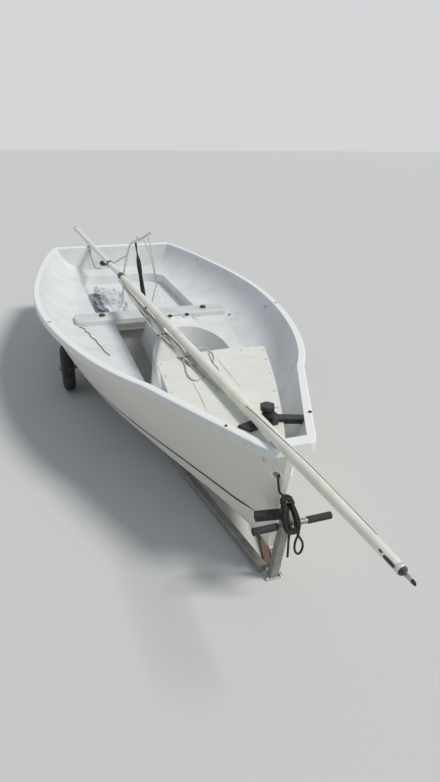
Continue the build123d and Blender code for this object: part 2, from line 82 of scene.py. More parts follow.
# Painter: 10 mm black braided rope. It comes out of the eye in the stem and hangs over the trolley's
# handle as a hank with turns round its neck, one long bight and a free tail.
def linked(name, data, body="root"):
    thing = bpy.data.objects.new(name, data)
    scene.collection.objects.link(thing)
    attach(thing, body)
    return thing


def spline_piece(name, points, radius, finish):
    curve = bpy.data.curves.new(name, "CURVE")
    curve.dimensions = "3D"
    curve.bevel_depth = radius
    curve.bevel_resolution = 3
    curve.resolution_u = 8
    curve.use_fill_caps = True
    spline = curve.splines.new("NURBS")
    spline.points.add(len(points) - 1)
    for point, place in zip(spline.points, points):
        point.co = (*place, 1)
    spline.order_u = 3
    spline.use_endpoint_u = True
    curve.materials.append(finish)
    return linked(name, curve)


def laid(places):
    return [at(*place) for place in places]


def node_group(name, inputs, outputs):
    group = bpy.data.node_groups.new(name, "ShaderNodeTree")
    for label, kind, value in inputs:
        socket = group.interface.new_socket(label, in_out="INPUT", socket_type="NodeSocket" + kind)
        socket.default_value = value
    for label, kind in outputs:
        group.interface.new_socket(label, in_out="OUTPUT", socket_type="NodeSocket" + kind)
    return group, group.nodes.new("NodeGroupInput"), group.nodes.new("NodeGroupOutput")


def shader_node(tree, kind, values=None, **settings):
    # A node with its settings and the values of its sockets
    made = tree.nodes.new("ShaderNode" + kind)
    for setting, choice in settings.items():
        setattr(made, setting, choice)
    for entry, value in (values or {}).items():
        made.inputs[entry].default_value = value
    return made


def joined(tree, *links):
    for source, socket, target, entry in links:
        tree.links.new(source.outputs[socket], target.inputs[entry])


# The colour sockets of a Mix node, by number
MIX_FROM, MIX_TO, MIX_RESULT = 6, 7, 2

# Dirt and painted shade: a second colour in soft patches, with the mask it lies by. Most finishes use it for
# dirt, the sail for painted shade in its folds
grime_and_shade, given, result = node_group(
    "grime_and_shade",
    [("Clean", "Color", (1, 1, 1, 1)), ("Dirt and shade", "Color", (0, 0, 0, 1)),
     ("Scale", "Float", 4.0), ("Amount", "Float", 0.5)],
    [("Colour", "Color"), ("Mask", "Float")])
coordinates = shader_node(grime_and_shade, "TexCoord")
patches = shader_node(grime_and_shade, "TexNoise", {"Detail": 8, "Roughness": 0.65})
spread = shader_node(grime_and_shade, "MapRange", {"From Min": 0.42, "From Max": 0.72})
strength = shader_node(grime_and_shade, "Math", operation="MULTIPLY")
blend = shader_node(grime_and_shade, "Mix", data_type="RGBA")
joined(
    grime_and_shade,
    (coordinates, "Object", patches, "Vector"), (given, "Scale", patches, "Scale"),
    (patches, "Fac", spread, "Value"), (spread, "Result", strength, 0), (given, "Amount", strength, 1),
    (strength, "Value", blend, "Factor"), (given, "Clean", blend, MIX_FROM),
    (given, "Dirt and shade", blend, MIX_TO), (blend, MIX_RESULT, result, "Colour"),
    (strength, "Value", result, "Mask"),
)

# Relief: an even small unevenness of a surface, as a normal
relief, given, result = node_group(
    "relief",
    [("Scale", "Float", 200.0), ("Depth", "Float", 0.001)],
    [("Normal", "Vector")])
coordinates = shader_node(relief, "TexCoord")
bumps = shader_node(relief, "TexNoise", {"Detail": 3})
raised = shader_node(relief, "Bump")
joined(
    relief,
    (coordinates, "Object", bumps, "Vector"), (given, "Scale", bumps, "Scale"),
    (bumps, "Fac", raised, "Height"), (given, "Depth", raised, "Distance"),
    (raised, "Normal", result, "Normal"),
)

# Scratches: short thin lines in patches, all one way
scratches, given, result = node_group(
    "scratches",
    [("Stretch", "Vector", (6.0, 130.0, 130.0)), ("Amount", "Float", 0.5)],
    [("Mask", "Float")])
coordinates = shader_node(scratches, "TexCoord")
drawn = shader_node(scratches, "VectorMath", operation="MULTIPLY")
hairs = shader_node(scratches, "TexNoise", {"Scale": 1.0})
thin = shader_node(scratches, "MapRange", {"From Min": 0.66, "From Max": 0.72})
where = shader_node(scratches, "TexNoise", {"Scale": 5.0, "Detail": 3})
kept = shader_node(scratches, "MapRange", {"From Min": 0.5, "From Max": 0.62})
both = shader_node(scratches, "Math", operation="MULTIPLY")
share = shader_node(scratches, "Math", operation="MULTIPLY")
joined(
    scratches,
    (coordinates, "Object", drawn, 0), (given, "Stretch", drawn, 1), (drawn, "Vector", hairs, "Vector"),
    (hairs, "Fac", thin, "Value"), (coordinates, "Object", where, "Vector"),
    (where, "Fac", kept, "Value"), (thin, "Result", both, 0), (kept, "Result", both, 1),
    (both, "Value", share, 0), (given, "Amount", share, 1), (share, "Value", result, "Mask"),
)

MARKS_AMOUNT = 0.7


def finish_of(name, clean, dirt_and_shade, amount, scale, rough, metal=0.0, grain=200.0, depth=0.0006,
              rough_dirty=None, marks=None, stretch=(6.0, 130.0, 130.0)):
    # One colour with a second one in patches (dirt, and on the sail painted shade), scratches in the colour
    # of marks and a fine relief
    finish = bpy.data.materials.new(name)
    finish.use_nodes = True
    tree = finish.node_tree
    shader = tree.nodes["Principled BSDF"]
    patches = shader_node(tree, "Group", {"Clean": (*clean, 1), "Dirt and shade": (*dirt_and_shade, 1), "Scale": scale,
                                          "Amount": amount}, node_tree=grime_and_shade)
    surface = shader_node(tree, "Group", {"Scale": grain, "Depth": depth}, node_tree=relief)
    if marks is None:
        joined(tree, (patches, "Colour", shader, "Base Color"))
    else:
        lines = shader_node(tree, "Group", {"Stretch": stretch, "Amount": MARKS_AMOUNT}, node_tree=scratches)
        marked = shader_node(tree, "Mix", {MIX_TO: (*marks, 1)}, data_type="RGBA")
        joined(tree, (lines, "Mask", marked, "Factor"), (patches, "Colour", marked, MIX_FROM),
               (marked, MIX_RESULT, shader, "Base Color"))
    joined(tree, (surface, "Normal", shader, "Normal"))
    shader.inputs["Metallic"].default_value = metal
    shader.inputs["Roughness"].default_value = rough
    if rough_dirty is not None:
        change = shader_node(tree, "MapRange", {"To Min": rough, "To Max": rough_dirty})
        joined(tree, (patches, "Mask", change, "Value"), (change, "Result", shader, "Roughness"))
    return finish


ROPE_THICK = 0.01
# The rope's route in millimetres: x, s, z
EYE_POINT = (-14, 58, 600)
FROM_EYE = [(-40, 54, 604), (-39, 34, 592), (-38, 24, 562), (-36, 20, 536)]
# Middle line of the hank, from its top to its foot, with its half width: x, s, z, half
HANK = [
    (-8, 9, 510, 23), (-12, -12, 504, 19), (-18, -48, 490, 28), (-23, -80, 468, 36), (-22, -93, 444, 34),
]
HANK_RISE, HANK_DROP = 13, 31
# Turns of the hank from the back one to the front: share of the half width, layer
HANK_TURNS = [
    (1.0, -1.0), (0.72, -1.1), (0.46, -0.9), (0.94, 0.0), (0.68, 0.1), (0.44, 0.1), (0.86, 1.0), (0.58, 1.1),
]
LAYER = 8
# Places of a fold: share of the half width, share of the fold's reach
FOLD = [(0.75, 0.72), (0.0, 1.0), (-0.75, 0.72)]
# Turns round the hank's neck: first station, number, stations a turn, share of the half width, layer
NECK_START, NECK_TURNS, NECK_PITCH, NECK_ACROSS, NECK_LAYER = 0.45, 3, 11 / 30, 1.42, 2.3
NECK_POINTS = 8
# The long bight below the fold, and the free tail: x, s, z
BIGHT = [
    (-6, -92, 433), (10, -87, 386), (31, -90, 354), (36, -91, 324), (29, -91, 296), (14, -91, 287),
    (-2, -92, 311), (-7, -94, 344), (-5, -98, 375), (4, -99, 400), (8, -97, 428),
]
TAIL_ACROSS, TAIL_LAYER, TAIL_STATION = -0.45, 1.6, 2
TAIL = [(-34, -92, 400), (-35, -92, 370), (-33, -91, 332), (-31, -88, 284)]
SHARPEST = radians(88)
EASINGS = 4


def hank_place(station, across, layer, beyond=0.0):
    # A place on the hank: its station, the share of its half width and its layer, outward from the boat
    first = min(int(station), len(HANK) - 2)
    part = station - first
    x, s, z, half = (a + (b - a) * part for a, b in zip(HANK[first], HANK[first + 1]))
    run_s, run_z = (HANK[first + 1][k] - HANK[first][k] for k in (1, 2))
    length = hypot(run_s, run_z)
    along, out = beyond / length, layer * LAYER / length
    return x + half * across, s + along * run_s + out * run_z, z + along * run_z - out * run_s


def hank_side(across, layer, downward):
    side = [hank_place(station, across, layer) for station in range(len(HANK))]
    return side if downward else side[::-1]


def hank_end(station, across, layer, beyond):
    # The fold at one end of a turn, from its port side to its starboard one
    return [hank_place(station, across * part, layer, beyond * across * reach) for part, reach in FOLD]


painter_route = [EYE_POINT] + FROM_EYE
for turn, (across, layer) in enumerate(HANK_TURNS):
    last = turn == len(HANK_TURNS) - 1
    painter_route += hank_side(across, layer, True)
    painter_route += BIGHT if last else hank_end(len(HANK) - 1, across, layer, HANK_DROP)
    painter_route += hank_side(-across, layer, False)
    painter_route += hank_end(0, across, layer, -HANK_RISE)[::-1]
for k in range(NECK_TURNS * NECK_POINTS):
    angle = tau * k / NECK_POINTS
    painter_route.append(hank_place(NECK_START + NECK_PITCH * k / NECK_POINTS,
                                    NECK_ACROSS * cos(angle), NECK_LAYER * sin(angle)))
painter_route += hank_side(TAIL_ACROSS, TAIL_LAYER, True)[TAIL_STATION:] + TAIL
# Where the route would kink, the rope takes a rounder way
painter_way = [Vector(point) for point in painter_route]
for _ in range(EASINGS):
    for k in range(1, len(painter_way) - 1):
        before, here, after = painter_way[k - 1:k + 2]
        if (here - before).angle(after - here) > SHARPEST:
            painter_way[k] = (before + here * 2 + after) / 4
black_rope = finish_of("black_rope", (0.01, 0.01, 0.011), (0.045, 0.043, 0.04), 0.7, 60, 0.75,
                       grain=700, depth=0.0015)
painter = spline_piece("painter_rope", laid(point / 1000 for point in painter_way), ROPE_THICK / 2,
                       black_rope)
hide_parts("painter", "painter_bundle", "painter_tail", "painter_loop")


# Hull: one rotomoulded white shell with its cockpit liner, dulled by the weather and scuffed. Its outside is
# a warmer tone than its inside, as painted warm light, and the inside's cooler grey is painted shade. A thin
# dark line runs along each flank above the chine.
def dressed(node, finish):
    materials = nodes[node].data.materials
    materials.clear()
    materials.append(finish)


# The base colour is a cool grey: painted shade on the white shell's inside.
gelcoat = finish_of("white_hull", (0.745, 0.765, 0.775), (0.5, 0.5, 0.47), 0.45, 3.4, 0.34,
                    grain=90, depth=0.0005, rough_dirty=0.62, marks=(0.5, 0.5, 0.5),
                    stretch=(60.0, 5.0, 70.0))
dressed("hull", gelcoat)
shell = gelcoat.node_tree


def span(source, socket, start, end):
    # 0 at the start value and 1 at the end value
    made = shader_node(shell, "MapRange", {"From Min": start, "From Max": end})
    joined(shell, (source, socket, made, "Value"))
    return made


def combined(first, second, operation="MULTIPLY"):
    # Where both masks are, or with MAXIMUM where either is
    both = shader_node(shell, "Math", operation=operation)
    joined(shell, (first, 0, both, 0), (second, 0, both, 1))
    return both


def overlaid(mask, colour):
    # Another colour of the gelcoat, where the mask is 1
    base = shell.nodes["Principled BSDF"].inputs["Base Color"]
    mixed = shader_node(shell, "Mix", {MIX_TO: (*colour, 1)}, data_type="RGBA")
    shell.links.new(base.links[0].from_socket, mixed.inputs[MIX_FROM])
    joined(shell, (mask, 0, mixed, "Factor"))
    shell.links.new(mixed.outputs[MIX_RESULT], base)


spot = shader_node(shell, "TexCoord")
place = shader_node(shell, "SeparateXYZ")
facing = shader_node(shell, "SeparateXYZ")
side_of = shader_node(shell, "Math", operation="SIGN")
outward = shader_node(shell, "Math", operation="MULTIPLY")
across = shader_node(shell, "Math", operation="ABSOLUTE")
joined(
    shell,
    (spot, "Object", place, "Vector"), (spot, "Normal", facing, "Vector"), (place, "X", side_of, 0),
    (facing, "X", outward, 0), (side_of, "Value", outward, 1), (place, "X", across, 0),
)
# Painted warm light: a warmer, darker tone on the outside below the flange, with the stem and the transom
stem_front = combined(span(facing, "Y", -0.3, -0.6),
                      span(place, "Y", STEM_Y + 0.16, STEM_Y + 0.12))
transom_back = combined(span(facing, "Y", 0.3, 0.6),
                        span(place, "Y", STEM_Y + 4.5, STEM_Y + 4.54))
ends = combined(stem_front, transom_back, "MAXIMUM")
outside = combined(span(outward, "Value", 0.05, 0.3), ends, "MAXIMUM")
overlaid(combined(outside, span(place, "Z", 0.735, 0.715)), (0.765, 0.735, 0.655))
# Painted shade, partly dirt: a dark grey low down in the forward well
in_well = combined(span(across, "Value", 0.355, 0.335),
                   span(place, "Y", STEM_Y + 1.5, STEM_Y + 1.62))
low_down = combined(span(place, "Z", 0.53, 0.37),
                    span(place, "Y", STEM_Y + 2.95, STEM_Y + 2.8))
overlaid(combined(in_well, low_down), (0.2, 0.195, 0.18))
# Painted highlight: the flange's upward faces are a lighter white
overlaid(combined(span(place, "Z", 0.712, 0.72), span(facing, "Z", 0.35, 0.7)),
         (0.86, 0.86, 0.845))

LINE_START, LINE_END = 0.183, 4.5
LINE_LOW, LINE_RISE, LINE_BEND, LINE_LEVEL = 0.331, 0.13, 0.3, 1.3
LINE_HALF = 0.0062
LINE_TIP, LINE_TAPER = 0.15, 0.08
LINE_PROUD = 0.0008
LINE_STEPS = 120
FAR_OUT = 2
SIDES = (("starboard", -1), ("port", 1))


def skin_of(node):
    # The surface of a solid, on which things are laid
    shape = bmesh.new()
    shape.from_mesh(nodes[node].data)
    skin = BVHTree.FromBMesh(shape)
    shape.free()
    return skin


hull_tree = skin_of("hull")


def on_flank(side, s, z):
    hit, normal, _, _ = hull_tree.ray_cast(at(side * FAR_OUT, s, z), Vector((-side, 0, 0)))
    return hit + normal * LINE_PROUD


def mesh_of(name, shape, finish):
    mesh = bpy.data.meshes.new(name)
    shape.to_mesh(mesh)
    shape.free()
    mesh.materials.append(finish)
    return mesh


def strip_mesh(name, rows, finish, body="root", closed=False):
    # A ribbon or grid through rows of points
    shape = bmesh.new()
    grid = [[shape.verts.new(point) for point in row] for row in rows]
    for first, second in zip(grid, grid[1:]):
        pairs = list(zip(first, first[1:])) + ([(first[-1], first[0])] if closed else [])
        other = list(zip(second, second[1:])) + ([(second[-1], second[0])] if closed else [])
        for (a, b), (c, d) in zip(pairs, other):
            shape.faces.new((a, b, d, c)).smooth = True
    bmesh.ops.recalc_face_normals(shape, faces=shape.faces)
    return linked(name, mesh_of(name, shape, finish), body)


line_black = finish_of("flank_line", (0.012, 0.012, 0.013), (0.1, 0.1, 0.09), 0.5, 30, 0.5)
for name, side in SIDES:
    rows = []
    for step in range(LINE_STEPS + 1):
        s = LINE_START + (LINE_END - LINE_START) * step / LINE_STEPS
        z = LINE_LOW + LINE_RISE * (1 - exp(-max(0, s - LINE_BEND) / LINE_LEVEL))
        half = LINE_HALF * min(1, LINE_TIP + (s - LINE_START) / LINE_TAPER)
        rows.append([on_flank(side, s, z + half), on_flank(side, s, z - half)])
    strip_mesh("flank_line_" + name, rows, line_black)


# Stem seams: under each end of its flange the shell closes onto the stem block with a seam, filled with
# the same white plastic and rubbed flush.
SEAM_FRONT, SEAM_BACK = 0.052, 0.1
SEAM_LOW, SEAM_HIGH = 0.65, 0.728
SEAM_THICK, SEAM_SLANT = 0.012, 0.4
SEAM_STEPS = 8
for name, side in SIDES:
    inward = Vector((-side * SEAM_THICK, SEAM_THICK * SEAM_SLANT, 0))
    rows = []
    for step in range(SEAM_STEPS + 1):
        z = SEAM_LOW + (SEAM_HIGH - SEAM_LOW) * step / SEAM_STEPS
        front, back = on_flank(side, SEAM_FRONT, z), on_flank(side, SEAM_BACK, z)
        rows.append([front, back, back + inward, front + inward])
    strip_mesh("stem_seam_" + name, rows, gelcoat, closed=True)


# Stem's eye: at each end of the painter's hole through the stem sits a turned white ring with its rim on the
# shell. Its bright white is painted light, for the light seen through the hole and the glints round it.
def turned(name, profile, place, axis, finish, sides=24, oval=1.0):
    # A turned piece: profile rows of radius and height along its axis, widened by oval
    turn = Vector(axis).normalized().to_track_quat("Z", "Y")
    rows = []
    for radius, height in profile:
        ring = []
        for k in range(sides):
            angle = tau * k / sides
            flat = Vector((radius * oval * cos(angle), radius * sin(angle), height))
            ring.append(place + turn @ flat)
        rows.append(ring)
    return strip_mesh(name, rows, finish, closed=True)


EYE_S, EYE_Z, EYE_REACH = 0.058, 0.602, 0.0245
BUSH = [
    (0.0185, -0.01), (0.0185, 0.0015), (0.0205, 0.0032), (0.0265, 0.0032), (0.029, 0.001),
    (0.029, -0.004),
]
eye_ring_painted_light = finish_of("eye_ring_painted_light", (0.9, 0.9, 0.88), (0.6, 0.6, 0.56), 0.3, 60, 0.3)
for name, side in SIDES:
    around = [on_flank(side, EYE_S + EYE_REACH * cos(angle), EYE_Z + EYE_REACH * sin(angle))
              for angle in (0, tau / 3, 2 * tau / 3)]
    facing = (around[1] - around[0]).cross(around[2] - around[0]).normalized()
    if facing.x * side < 0:
        facing.negate()
    middle = sum(around, Vector()) / 3
    turned("painted_light_ring_" + name, BUSH, middle, facing, eye_ring_painted_light)


# Foredeck: a flat pebbled panel on its moulded box, fixed by stainless screws along its edges. Two thin dark
# lines on it are painted shade along two creases in the panel.
def joined_pieces(name, parts):
    # Many small meshes made into one piece
    shape = bmesh.new()
    for part in parts:
        shape.from_mesh(part.data)
    mesh = mesh_of(name, shape, parts[0].data.materials[0])
    for part in parts:
        bpy.data.objects.remove(part)
    return linked(name, mesh)


panel_white = finish_of("foredeck_white", (0.8, 0.795, 0.745), (0.62, 0.6, 0.53), 0.4, 9, 0.5,
                        grain=420, depth=0.0012, rough_dirty=0.7, marks=(0.52, 0.5, 0.44))
core_white = finish_of("core_white", (0.74, 0.75, 0.74), (0.5, 0.5, 0.46), 0.4, 5, 0.45,
                       grain=120)
dressed("foredeck_panel", panel_white)
dressed("foredeck_core", core_white)
PANEL_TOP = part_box("foredeck_panel")[1].z
# A dark grey for the painted shade along the panel's creases.
crease_painted_shade = finish_of("crease_painted_shade", (0.28, 0.27, 0.24), (0.45, 0.44, 0.4), 0.6, 50, 0.8)
# Places along each painted crease line: x, s
PANEL_CREASE_LINES = [
    [(-0.196, 0.745), (-0.203, 0.69), (-0.205, 0.62), (-0.214, 0.52), (-0.228, 0.414)],
    [(0.03, 1.04), (0.022, 0.96), (0.016, 0.8), (0.014, 0.617)],
]
CREASE_LINE_HALF, CREASE_LINE_END_HALF, CREASE_LINE_PROUD = 0.0016, 0.0004, 0.0006
for number, way in enumerate(PANEL_CREASE_LINES):
    rows = []
    for k, (x, s) in enumerate(way):
        half = CREASE_LINE_HALF if 0 < k < len(way) - 1 else CREASE_LINE_END_HALF
        rows.append([at(x + reach, s, PANEL_TOP + CREASE_LINE_PROUD) for reach in (-half, half)])
    strip_mesh(f"panel_crease_shade_{number}", rows, crease_painted_shade)

screw_steel = finish_of("stainless", (0.52, 0.52, 0.51), (0.2, 0.19, 0.17), 0.5, 60, 0.35, metal=1.0,
                        grain=900, depth=0.0003)
SCREW = [(0.0001, 0.0034), (0.004, 0.0032), (0.0066, 0.0016), (0.0072, -0.001)]
SCREW_SIDES = 12
SCREW_INSET = 0.018
EDGE_DEPTH = 0.002
# Screws by their places, x and s, and screws along an edge, by side and s
screw_places = [(-0.026, 0.842), (0.0, 1.1), (0.2, 1.095)]
EDGE_SCREWS = [
    (1, 1.06), (1, 0.92), (1, 0.74), (1, 0.53), (1, 0.36), (-1, 1.02), (-1, 0.86), (-1, 0.66),
]
panel_tree = skin_of("foredeck_panel")
for side, s in EDGE_SCREWS:
    edge = panel_tree.ray_cast(at(side * FAR_OUT, s, PANEL_TOP - EDGE_DEPTH), Vector((-side, 0, 0)))[0]
    screw_places.append((edge.x - side * SCREW_INSET, s))
panel_screws = [turned("screw", SCREW, at(x, s, PANEL_TOP), (0, 0, 1), screw_steel, SCREW_SIDES)
                for x, s in screw_places]
joined_pieces("panel_screws", panel_screws)

# Hull fittings: black nylon pins in the flange by the bow, an eye and a drain hole in the port wall, an
# oval inspection hatch on the inner face of the transom, and a thin dark line along the starboard deck.
nylon_black = finish_of("nylon_black", (0.014, 0.014, 0.016), (0.11, 0.11, 0.1), 0.5, 35, 0.45,
                        grain=600, depth=0.0005)
PIN = [(0.0001, 0.008), (0.004, 0.0075), (0.0055, 0.005), (0.006, -0.002)]
CAP = [(0.0001, 0.0045), (0.02, 0.0045), (0.021, 0.003), (0.026, 0.003), (0.03, 0.0015), (0.031, -0.002)]
DRAIN = [(0.0001, -0.003), (0.008, -0.002), (0.009, 0.002), (0.012, 0.002), (0.013, -0.001)]
EYE_PLATE = [(0.0001, 0.005), (0.01, 0.005), (0.013, 0.003), (0.015, -0.001)]
# Name, profile, place near the skin (x, s, z), oval
FITTINGS = [
    ("flange_pin_starboard", PIN, (-0.197, 0.244, 0.78), 1.0),
    ("flange_pin_port", PIN, (0.205, 0.253, 0.78), 1.6),
    ("transom_hatch", CAP, (-0.125, 4.48, 0.56), 1.45),
    ("wall_drain", DRAIN, (0.76, 2.115, 0.69), 0.6),
    ("wall_eye", EYE_PLATE, (0.62, 2.46, 0.52), 0.7),
]
for name, profile, place, oval in FITTINGS:
    spot, facing, _, _ = hull_tree.find_nearest(at(*place))
    turned(name, profile, spot, facing, nylon_black, oval=oval)

DECK_LINE_THICK, DECK_LINE_LIFT = 0.005, 0.6
OVER_DECK = 0.72
DECK_LINE = [
    (-0.6, 2.5), (-0.555, 2.47), (-0.57, 2.4), (-0.535, 2.36), (-0.545, 2.27), (-0.512, 2.2),
    (-0.508, 2.1), (-0.49, 2.02), (-0.486, 1.93), (-0.462, 1.86),
]
dark_line = finish_of("dark_line", (0.02, 0.021, 0.024), (0.09, 0.09, 0.09), 0.6, 60, 0.8,
                      grain=900, depth=0.001)
way = []
for x, s in DECK_LINE:
    spot, facing, _, _ = hull_tree.ray_cast(at(x, s, OVER_DECK), Vector((0, 0, -1)))
    way.append(spot + facing * DECK_LINE_THICK * DECK_LINE_LIFT)
deck_line = spline_piece("deck_line", way, DECK_LINE_THICK / 2, dark_line)

# Console: the centreboard case, one white moulding that rises to two horns round the mast step, with
# two black knobs in white collars on its top.
console_white = finish_of("console_white", (0.76, 0.77, 0.76), (0.5, 0.5, 0.46), 0.45, 6, 0.4,
                          grain=120, rough_dirty=0.65)
dressed("console", console_white)
knob_black = finish_of("black_fitting", (0.018, 0.018, 0.02), (0.1, 0.1, 0.095), 0.55, 30, 0.48,
                       grain=500)
dressed("console_knobs", knob_black)
COLLAR = [
    (0.0158, 0.0), (0.0265, 0.0), (0.0285, 0.003), (0.0275, 0.008), (0.022, 0.011), (0.0158, 0.0105),
]
COLLAR_AXIS = (0, -0.05, 1)
COLLAR_LIFT = 0.0005
KNOB_HALF = 0.015
low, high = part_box("console_knobs")
for name, x in (("starboard", low.x + KNOB_HALF), ("port", high.x - KNOB_HALF)):
    place = Vector((x, (low.y + high.y) / 2, low.z + COLLAR_LIFT))
    turned("knob_collar_" + name, COLLAR, place, COLLAR_AXIS, console_white)

# Thwart: a pebbled moulded seat across the side decks, with two black rope fittings screwed to its top.
# The shrouds' stainless plates are riveted to the decks by it.
# Its bluish grey, darker than the other white mouldings, is painted shade on a white seat.
thwart_white_painted_shade = finish_of("thwart_white_painted_shade", (0.66, 0.68, 0.69), (0.42, 0.43, 0.42), 0.5, 6, 0.5,
                         grain=420, depth=0.0014)
dressed("thwart", thwart_white_painted_shade)
dressed("thwart_fittings", knob_black)
dressed("shroud_plates", screw_steel)

# Mast: two anodised tubes joined at a collar. It lies along the boat with its tapered head over the
# bow; the spreaders are still on it. A thin dark line winds along it, and two dark patches of painted shade
# on the head stand for its sheave slots.
mast_alloy = finish_of("mast_alloy", (0.86, 0.85, 0.74), (0.56, 0.56, 0.5), 0.45, 7, 0.4, metal=0.2,
                       grain=260, depth=0.0003, rough_dirty=0.6)
for node in ("mast_top_section", "mast_lower_section"):
    dressed(node, mast_alloy)
for node in ("mast_heel", "mast_collar", "mast_ring"):
    dressed(node, knob_black)
# Middle line of the mast, x and z, over the stem head and over the transom
MAST_BOW, MAST_STERN = (-0.059, 0.7953), (-0.245, 0.7636)
MAST_SPAN = 4.6
MAST_RADIUS, HEAD_RADIUS = 0.026, 0.017
HEAD_S, TAPER_S = -0.738, 0.15


def mast_point(s, angle=0.0, proud=0.0):
    # A point on the mast's skin; the angle goes from the top towards port
    share = s / MAST_SPAN
    taper = min(1, (s - HEAD_S) / (TAPER_S - HEAD_S))
    radius = HEAD_RADIUS + (MAST_RADIUS - HEAD_RADIUS) * taper + proud
    x = MAST_BOW[0] + (MAST_STERN[0] - MAST_BOW[0]) * share + radius * sin(radians(angle))
    z = MAST_BOW[1] + (MAST_STERN[1] - MAST_BOW[1]) * share + radius * cos(radians(angle))
    return at(x, s, z)


def mast_middle(s):
    return (mast_point(s, 0) + mast_point(s, 180)) / 2


MARK_PROUD = 0.0006
# A near-black for dark cords and lines, and for the painted shade of the sheave slots.
dark_cord_and_painted_shade = finish_of("dark_cord_and_painted_shade", (0.035, 0.034, 0.03), (0.16, 0.155, 0.14), 0.6, 40, 0.6)
# Dark line on the mast's skin: s, angle
MAST_LINE_WAY = [(0.3, -34), (0.16, -20), (0.0, -4), (-0.12, 14), (-0.25, 36), (-0.42, 52), (-0.6, 56)]
MAST_LINE_RADIUS = 0.0016
mast_line_piece = spline_piece("mast_line", [mast_point(s, angle, MARK_PROUD) for s, angle in MAST_LINE_WAY], MAST_LINE_RADIUS,
                     dark_cord_and_painted_shade)
# Sheave slots in the head, as dark patches of painted shade on the skin for their shaded insides: place
# along the mast, angle, length, half width in degrees
SHEAVES = [(-0.664, -62, 0.016, 11), (-0.706, -76, 0.058, 21)]
SHEAVE_END_HALF = 0.3
SHEAVE_ROWS, SHEAVE_COLUMNS = 6, 3
for number, (s, angle, length, half_width) in enumerate(SHEAVES):
    rows = []
    for step in range(-SHEAVE_ROWS, SHEAVE_ROWS + 1):
        share = step / SHEAVE_ROWS
        half = half_width * sqrt(max(0, 1 - share ** 4)) + SHEAVE_END_HALF
        rows.append([mast_point(s + share * length / 2, angle + half * k / SHEAVE_COLUMNS, MARK_PROUD)
                     for k in range(SHEAVE_COLUMNS, -SHEAVE_COLUMNS - 1, -1)])
    strip_mesh(f"sheave_painted_shade_{number}", rows, dark_cord_and_painted_shade)

# Masthead: a black plastic plug in the tube's bright end, with a cast grey metal tongue that stands out
# of it and has a worn dark tip.
tongue_grey = finish_of("tongue_grey", (0.5, 0.51, 0.51), (0.25, 0.25, 0.24), 0.5, 60, 0.4, metal=0.6,
                        grain=500, depth=0.0004)
HEAD_NEAR, HEAD_FAR = -0.7, -0.8
head_way = (mast_point(HEAD_FAR) - mast_point(HEAD_NEAR)).normalized()
head_side = Vector((1, 0, 0)).cross(head_way).cross(head_way).normalized()
head_over = head_side.cross(head_way)
HEAD_PLUG = [(0.015, 0.002), (0.015, 0.0085), (0.013, 0.0116), (0.0001, 0.0118)]
HEAD_RIM = [
    (0.0172, -0.01), (0.018, -0.008), (0.018, 0.004), (0.0168, 0.0055), (0.0148, 0.0055),
    (0.0146, -0.002),
]
plug = turned("masthead_plug", HEAD_PLUG, mast_middle(HEAD_S), head_way, knob_black)
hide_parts("masthead")
rim_bright = finish_of("head_rim", (0.74, 0.75, 0.75), (0.4, 0.4, 0.38), 0.5, 60, 0.35, metal=0.5,
                       grain=500, depth=0.0003)
turned("masthead_rim", HEAD_RIM, mast_middle(HEAD_S), head_way, rim_bright)
# Stations of the tongue and its tip: distance from the tube's end, half width, half thickness
TONGUE = [(0.01, 0.0095, 0.0042), (0.04, 0.0095, 0.004), (0.046, 0.0085, 0.0036)]
TIP = [(0.046, 0.0088, 0.004), (0.056, 0.008, 0.0036), (0.0615, 0.005, 0.002)]
TONGUE_SIDES = 16
tongue_angles = [tau * k / TONGUE_SIDES for k in range(TONGUE_SIDES)]
for name, stations, finish in (("masthead_tongue", TONGUE, tongue_grey), ("masthead_tip", TIP, knob_black)):
    rows = []
    for reach, half, thick in stations:
        centre = mast_middle(HEAD_S) + head_way * reach
        rows.append([centre + head_over * half * cos(angle) + head_side * thick * sin(angle)
                     for angle in tongue_angles])
    first, last = ([sum(row, Vector()) / TONGUE_SIDES] * TONGUE_SIDES for row in (rows[0], rows[-1]))
    strip_mesh(name, [first] + rows + [last], finish, closed=True)

# Spreaders: thin alloy tubes pinned to the mast's collar, with one pair swung up and the other hanging
# down.
dull_alloy = finish_of("spreader_alloy", (0.62, 0.62, 0.58), (0.35, 0.35, 0.32), 0.4, 20, 0.4, metal=0.6,
                       grain=300, depth=0.0003)
dressed("spreader_upper", dull_alloy)
dressed("spreader_lower", dull_alloy)

# Stays: thin steel wires and braided cream ropes, lashed along the mast's starboard side from the collar
# to the hounds.
wire_grey = finish_of("stay_wire", (0.35, 0.35, 0.34), (0.12, 0.12, 0.11), 0.5, 60, 0.45, metal=0.7,
                      grain=900, depth=0.0005)
cream_rope = finish_of("cream_rope", (0.66, 0.64, 0.55), (0.36, 0.35, 0.3), 0.6, 70, 0.8,
                       grain=800, depth=0.0012)
grey_rope = finish_of("grey_rope", (0.56, 0.57, 0.56), (0.28, 0.28, 0.27), 0.6, 70, 0.8,
                      grain=800, depth=0.0012)
# Middle line of the bundle with its half spread: x, s, z, half
BUNDLE = [
    (-0.212, 2.87, 0.764, 0.006), (-0.202, 2.56, 0.752, 0.011), (-0.192, 2.2, 0.744, 0.02),
    (-0.183, 1.85, 0.744, 0.027), (-0.178, 1.52, 0.75, 0.032), (-0.168, 1.27, 0.757, 0.031),
    (-0.152, 1.06, 0.7575, 0.024), (-0.136, 0.94, 0.7565, 0.012),
]
